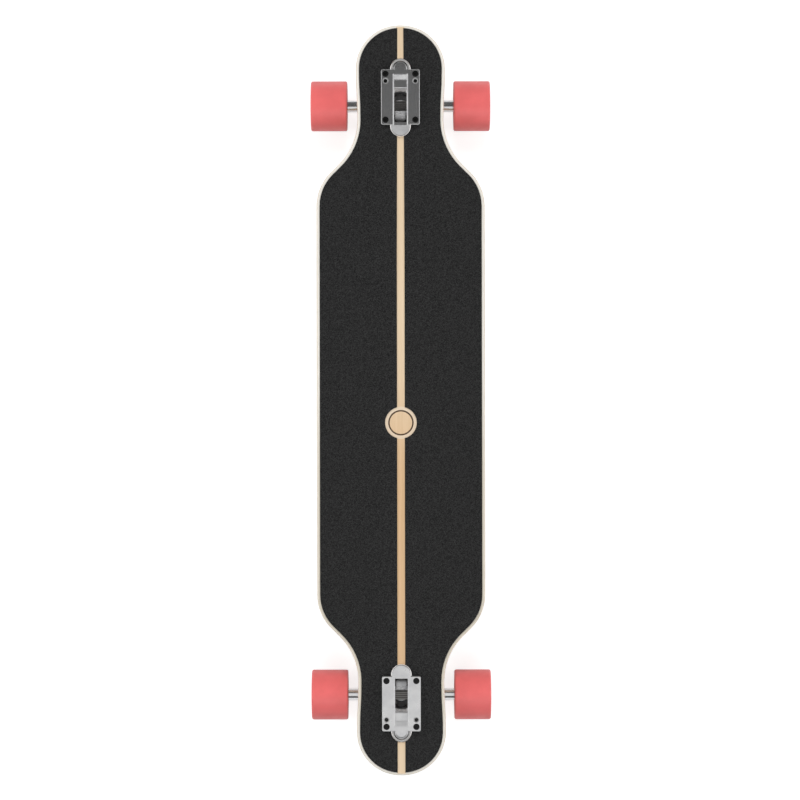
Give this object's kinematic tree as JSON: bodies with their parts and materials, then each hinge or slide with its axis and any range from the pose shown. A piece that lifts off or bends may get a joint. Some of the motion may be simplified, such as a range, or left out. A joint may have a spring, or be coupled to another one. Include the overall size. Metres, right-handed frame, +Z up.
{
  "type": "longboard skateboard",
  "caption": "Drop-through longboard skateboard with a concave maple deck, black grip tape, sprung steering trucks and free-rolling coral wheels.",
  "frame": {"origin": "on the ground under the middle of the deck", "axes": "+Y towards the nose, +X to the right seen from above with the nose ahead, +Z up"},
  "size_m": [0.2512, 1.041, 0.1074],
  "materials": {
    "maple_veneer": "clear lacquer",
    "maple_core": "sanded edge",
    "grip_tape": "coarse grit",
    "cast_aluminium": "satin casting",
    "polished_aluminium": "polished casting",
    "black_steel": "black oxide",
    "plated_steel": "zinc plated",
    "bearing_steel": "ground",
    "bearing_shield": "black shield",
    "bushing_urethane": "satin urethane",
    "pivot_plastic": "moulded",
    "wheel_urethane": "satin urethane",
    "hub_plastic": "moulded"
  },
  "bodies": {
    "deck": {"deck_bottom_veneer": "maple_veneer", "deck_core": "maple_core", "deck_top_veneer": "maple_veneer", "grip_tape_left": "grip_tape", "grip_tape_right": "grip_tape", "front_baseplate": "cast_aluminium", "front_mounting_bolts": "black_steel", "front_mounting_nuts": "black_steel", "front_kingpin": "plated_steel", "front_kingpin_nut": "plated_steel", "front_boardside_washer": "plated_steel", "front_boardside_bushing": "bushing_urethane", "front_roadside_bushing": "bushing_urethane", "front_roadside_washer": "plated_steel", "front_pivot_cup": "pivot_plastic", "rear_baseplate": "cast_aluminium", "rear_mounting_bolts": "black_steel", "rear_mounting_nuts": "black_steel", "rear_kingpin": "plated_steel", "rear_kingpin_nut": "plated_steel", "rear_boardside_washer": "plated_steel", "rear_boardside_bushing": "bushing_urethane", "rear_roadside_bushing": "bushing_urethane", "rear_roadside_washer": "plated_steel", "rear_pivot_cup": "pivot_plastic"},
    "front_truck": {"front_hanger": "polished_aluminium", "front_axle": "plated_steel", "front_axle_nuts": "plated_steel", "front_speed_washers": "plated_steel", "front_bearing_inner_rings": "bearing_steel", "front_bearing_spacers": "plated_steel"},
    "rear_truck": {"rear_hanger": "polished_aluminium", "rear_axle": "plated_steel", "rear_axle_nuts": "plated_steel", "rear_speed_washers": "plated_steel", "rear_bearing_inner_rings": "bearing_steel", "rear_bearing_spacers": "plated_steel"},
    "front_left_wheel": {"front_left_tyre": "wheel_urethane", "front_left_hub": "hub_plastic", "front_left_bearing_outer_rings": "bearing_steel", "front_left_bearing_balls": "bearing_steel", "front_left_bearing_shields": "bearing_shield"},
    "front_right_wheel": {"front_right_tyre": "wheel_urethane", "front_right_hub": "hub_plastic", "front_right_bearing_outer_rings": "bearing_steel", "front_right_bearing_balls": "bearing_steel", "front_right_bearing_shields": "bearing_shield"},
    "rear_left_wheel": {"rear_left_tyre": "wheel_urethane", "rear_left_hub": "hub_plastic", "rear_left_bearing_outer_rings": "bearing_steel", "rear_left_bearing_balls": "bearing_steel", "rear_left_bearing_shields": "bearing_shield"},
    "rear_right_wheel": {"rear_right_tyre": "wheel_urethane", "rear_right_hub": "hub_plastic", "rear_right_bearing_outer_rings": "bearing_steel", "rear_right_bearing_balls": "bearing_steel", "rear_right_bearing_shields": "bearing_shield"}
  },
  "joints": [
    {"name": "front_steer", "type": "hinge", "parent": "deck", "child": "front_truck", "pos_m": [0, 0.42207, 0.07262], "axis": [0, 0.6428, 0.766], "range_deg": [-15, 15], "stiffness_Nm_per_rad": 60, "deforming": ["front_boardside_bushing", "front_roadside_bushing"]},
    {"name": "front_left_roll", "type": "hinge", "parent": "front_truck", "child": "front_left_wheel", "pos_m": [-0.1025, 0.414, 0.035], "axis": [1, 0, 0], "continuous": true},
    {"name": "front_right_roll", "type": "hinge", "parent": "front_truck", "child": "front_right_wheel", "pos_m": [0.1025, 0.414, 0.035], "axis": [1, 0, 0], "continuous": true},
    {"name": "rear_steer", "type": "hinge", "parent": "deck", "child": "rear_truck", "pos_m": [0, -0.42207, 0.07262], "axis": [0, -0.6428, 0.766], "range_deg": [-15, 15], "stiffness_Nm_per_rad": 60, "deforming": ["rear_boardside_bushing", "rear_roadside_bushing"]},
    {"name": "rear_left_roll", "type": "hinge", "parent": "rear_truck", "child": "rear_left_wheel", "pos_m": [-0.1025, -0.414, 0.035], "axis": [1, 0, 0], "continuous": true},
    {"name": "rear_right_roll", "type": "hinge", "parent": "rear_truck", "child": "rear_right_wheel", "pos_m": [0.1025, -0.414, 0.035], "axis": [1, 0, 0], "continuous": true}
  ]
}
